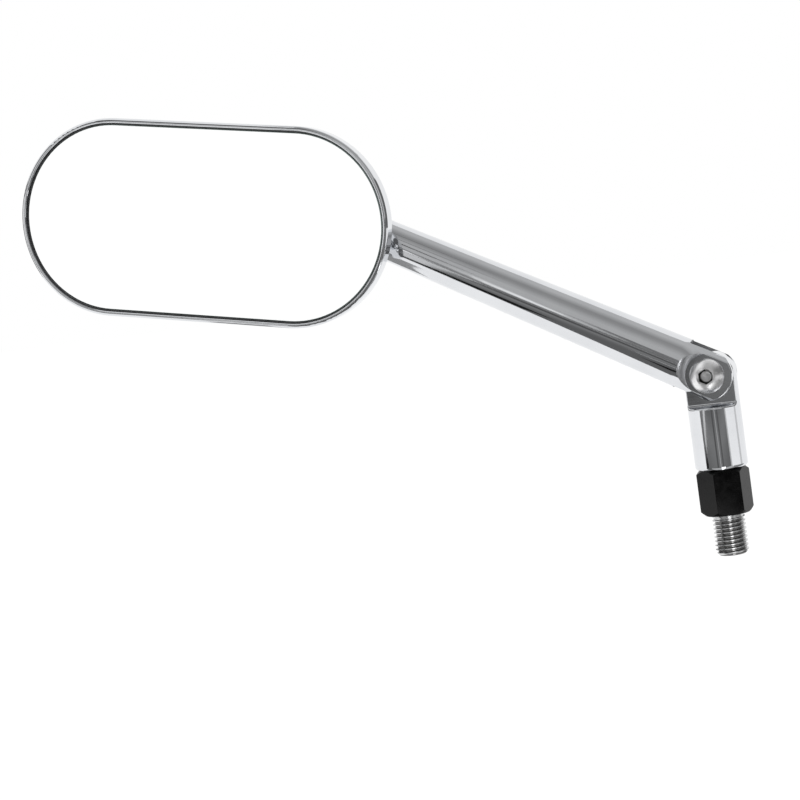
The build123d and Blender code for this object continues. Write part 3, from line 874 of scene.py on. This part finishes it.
# The wall behind the camera has a dark bench along its foot, dark boards and a slanting bright window.
# Each is given by its lower and upper edges, as left and right corners across and up the wall.
WALL_TONES = ((0.00, 0.52), (1.00, 0.50))
LOW_WINDOW_TONES = ((0.0, 0.50), (0.4, 1.0), (1.0, 1.0))
HIGH_WINDOW_TONES = ((0.0, 1.0), (1.0, 0.7))
WALL_CARD_GAP = 0.02
WALL_CARDS = (
    ("bench_card", (-1.30, 0.00), (0.60, 0.00), (-1.05, 0.16), (0.60, 0.30), plain(0.18)),
    ("low_board", (-0.74, 0.16), (0.30, 0.16), (-0.48, 0.46), (0.00, 0.46), plain(0.17)),
    ("high_board", (-0.48, 0.46), (-0.05, 0.46), (-0.30, 0.99), (-0.16, 0.99), plain(0.18)),
    ("side_board", (-1.35, 0.04), (-0.99, 0.06), (-0.98, 0.50), (-0.79, 0.48), plain(0.28)),
    ("low_window", (-0.90, 0.20), (-0.80, 0.18), (-0.72, 0.55), (-0.56, 0.49), LOW_WINDOW_TONES),
    ("high_window", (-0.72, 0.55), (-0.56, 0.49), (-0.51, 0.95), (-0.49, 0.95), HIGH_WINDOW_TONES),
)
card(
    "wall_card",
    (-CARD_REACH, ROOM_FRONT, floor_level),
    (CARD_REACH, ROOM_FRONT, floor_level),
    (-CARD_REACH, ROOM_FRONT, CEILING_HEIGHT),
    (CARD_REACH, ROOM_FRONT, CEILING_HEIGHT),
    WALL_TONES,
)
for layer, (name, *corners, tones) in enumerate(WALL_CARDS, 1):
    card(name, *[(across, ROOM_FRONT + layer * WALL_CARD_GAP, up) for across, up in corners], tones)

# A dark board stands on either side of the head, where its rim looks at it.
# Each is given by its place across the room, its ends along the room, its foot, its top and its grey.
RIM_BOARDS = (
    ("right_rim_board", 0.45, -0.47, 0.66, 0.00, 0.42, 0.14),
    ("left_rim_board", -0.55, -0.05, 0.60, 0.00, 0.24, 0.12),
)
for name, across, front_end, back_end, foot, top, grey in RIM_BOARDS:
    card(
        name,
        (across, front_end, foot),
        (across, back_end, foot),
        (across, front_end, top),
        (across, back_end, top),
        plain(grey),
    )

# The dark table opens like a fan in front of the stem. A few streaks and patches lie on it.
TABLE_DROP = 0.0003
SHEET_THICKNESS = 0.00002
TABLE_DEPTH = 2.8
TABLE_LEFT = radians(-57.5)
TABLE_RIGHT = radians(51.5)
TABLE_NEAR = 0.004
TABLE_TONES = (
    (0.00, 0.13), (0.045, 0.13), (0.07, 0.16), (0.107, 0.23), (0.17, 0.14), (0.23, 0.24), (0.285, 0.18),
    (0.36, 0.13), (0.55, 0.17), (1.00, 0.19)
)
table_level = cad_low.z - TABLE_DROP


def spoke(azimuth, distance, layer=0):
    """A point on the table, at a distance from the stem and an angle from straight ahead of the glass."""
    level = table_level + layer * SHEET_THICKNESS
    return Vector((sin(azimuth) * distance, -cos(azimuth) * distance, level))


card(
    "table_card",
    spoke(TABLE_LEFT, TABLE_NEAR / cos(TABLE_LEFT)),
    spoke(TABLE_RIGHT, TABLE_NEAR / cos(TABLE_RIGHT)),
    spoke(TABLE_LEFT, TABLE_DEPTH / cos(TABLE_LEFT)),
    spoke(TABLE_RIGHT, TABLE_DEPTH / cos(TABLE_RIGHT)),
    TABLE_TONES,
)

# Each streak: its name, left and right edges in degrees, start and end in metres, and its grey.
TABLE_STREAKS = (
    ("table_edge", 51.5, 57.0, 0.12, 2.0, 0.55),
    ("table_far_right", 101.0, 112.0, 0.12, 1.2, 0.68),
    ("light_streak", 6.2, 9.4, 0.14, 1.6, 0.42),
    ("dark_streak_left", -7.0, -1.0, 0.14, 1.6, 0.10),
    ("dark_streak_right", 15.5, 21.0, 0.14, 1.6, 0.11),
    ("stud_sheet", -34.0, 64.0, 0.006, 0.105, 0.50),
    ("stud_shine", 10.0, 26.0, 0.006, 0.112, 3.0),
    ("arm_light_line", -28.0, -22.0, 0.200, 0.214, 0.62),
    ("arm_dark_patch", -38.0, -30.0, 0.100, 0.132, 0.01),
    ("hinge_dark_patch", -27.0, -11.0, 0.50, 0.88, 0.08),
    ("under_head_patch", -112.0, -72.0, 0.195, 0.222, 0.32),
    ("stud_left_sheet", -104.0, -57.0, 0.006, 0.030, 0.16),
    ("stud_far_left_sheet", -150.0, -104.0, 0.006, 0.030, 0.16),
    ("stud_right_sheet", 64.0, 120.0, 0.006, 0.170, 0.25),
)
for layer, (name, left, right, near, far, grey) in enumerate(TABLE_STREAKS, 1):
    left = radians(left)
    right = radians(right)
    card(
        name,
        spoke(left, near, layer),
        spoke(right, near, layer),
        spoke(left, far, layer),
        spoke(right, far, layer),
        plain(grey),
    )

# A light sheet lies out on the table's left side, and a black cloth along the table's edge under the head.
# The corners of each are given in degrees and metres, as for the streaks.
TABLE_SHEETS = (
    ("sheet_card", ((-49.0, 0.347), (-47.9, 0.283), (-30.4, 1.68), (-21.0, 1.39)), 0.68),
    ("cloth_card", ((-54.5, 0.170), (-43.0, 0.190), (-56.5, 0.262), (-47.0, 0.285)), 0.012),
)
for layer, (name, corners, grey) in enumerate(TABLE_SHEETS, len(TABLE_STREAKS) + 1):
    card(name, *[spoke(radians(azimuth), distance, layer) for azimuth, distance in corners], plain(grey))

# One white card stands where the glass looks, cut to the glass's own shape as the camera sees it there.
GLASS_CARD_SIDES = 96
GLASS_CARD_DISTANCE = 0.5
GLASS_CARD_MARGIN = 0.0002
GLASS_CARD_WHITE = 1.08
GLASS_HALF_LENGTH = 0.05945
GLASS_HALF_HEIGHT = 0.0293

glass_low, glass_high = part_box("mirror_glass")
glass_middle = (glass_low + glass_high) / 2
glass_middle.y = glass_low.y
eye_behind_glass = Vector((camera_place.x, 2 * glass_low.y - camera_place.y, camera_place.z))
card_scale = 1 + GLASS_CARD_DISTANCE / (glass_low.y - camera_place.y)
along_glass = Vector((cos(HEAD_RISE), 0, -sin(HEAD_RISE)))
across_glass = Vector((sin(HEAD_RISE), 0, cos(HEAD_RISE)))
card_round = GLASS_HALF_HEIGHT + GLASS_CARD_MARGIN
card_straight = GLASS_HALF_LENGTH - GLASS_HALF_HEIGHT
bpy.ops.mesh.primitive_circle_add(vertices=GLASS_CARD_SIDES, radius=1, fill_type="NGON")
white_card = bpy.context.object
white_card.name = "white_card"
for vertex in white_card.data.vertices:
    to_end = card_straight if vertex.co.x > 0 else -card_straight
    edge = along_glass * (vertex.co.x * card_round + to_end) + across_glass * (vertex.co.y * card_round)
    vertex.co = eye_behind_glass + (glass_middle + edge - eye_behind_glass) * card_scale
show_in_reflections(white_card, plain(GLASS_CARD_WHITE))

# One soft box above the camera's left shoulder gives the matt pieces their shape and the floor its shadow.
LAMP_POWER = 6.0
LAMP_PLACE = (-0.5, -0.6, 1.2)
LAMP_SIZE = 0.9
bpy.ops.object.light_add(type="AREA", location=LAMP_PLACE)
soft_box = bpy.context.object
soft_box.name = "soft_box"
soft_box.data.size = LAMP_SIZE
soft_box.data.energy = LAMP_POWER
soft_box.rotation_euler = (VIEW_AIM - soft_box.location).to_track_quat("-Z", "Y").to_euler()
soft_box.visible_glossy = False
bpy.context.scene.view_settings.view_transform = "Standard"
